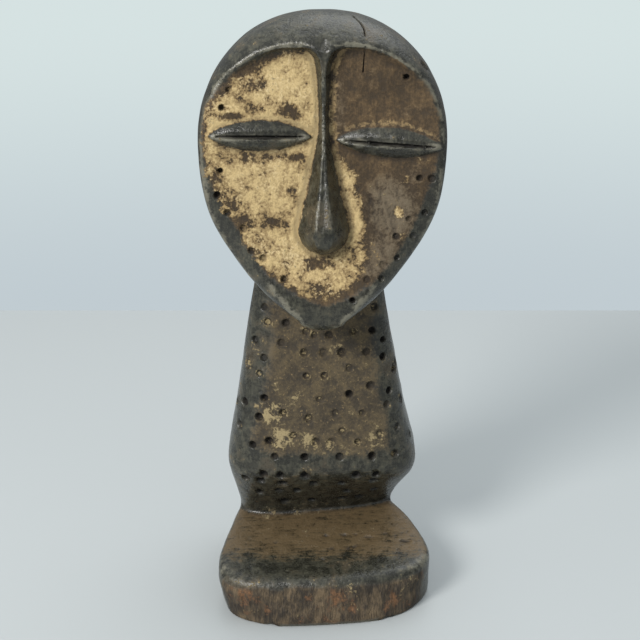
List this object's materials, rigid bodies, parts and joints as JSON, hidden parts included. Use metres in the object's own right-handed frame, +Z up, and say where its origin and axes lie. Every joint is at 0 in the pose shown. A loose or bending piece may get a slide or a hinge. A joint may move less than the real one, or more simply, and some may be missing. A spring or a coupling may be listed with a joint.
{
  "type": "carved wooden figure",
  "caption": "Abstract carved figure with a large egg-shaped head, hollowed pale face, closed slit eyes and long ridged nose, on a pitted trunk that runs forward into a slab foot",
  "frame": {"origin": "the middle of the bounding box at the underside of the foot", "axes": "+Z runs up the figure; the face looks along -Y; +X is the viewer's right"},
  "size_m": [0.102, 0.0922, 0.261],
  "materials": {
    "figure": "dark hand-polished patina, with worn pale clay rubbed into the face"
  },
  "bodies": {
    "root": {"figure": "figure"}
  },
  "joints": []
}
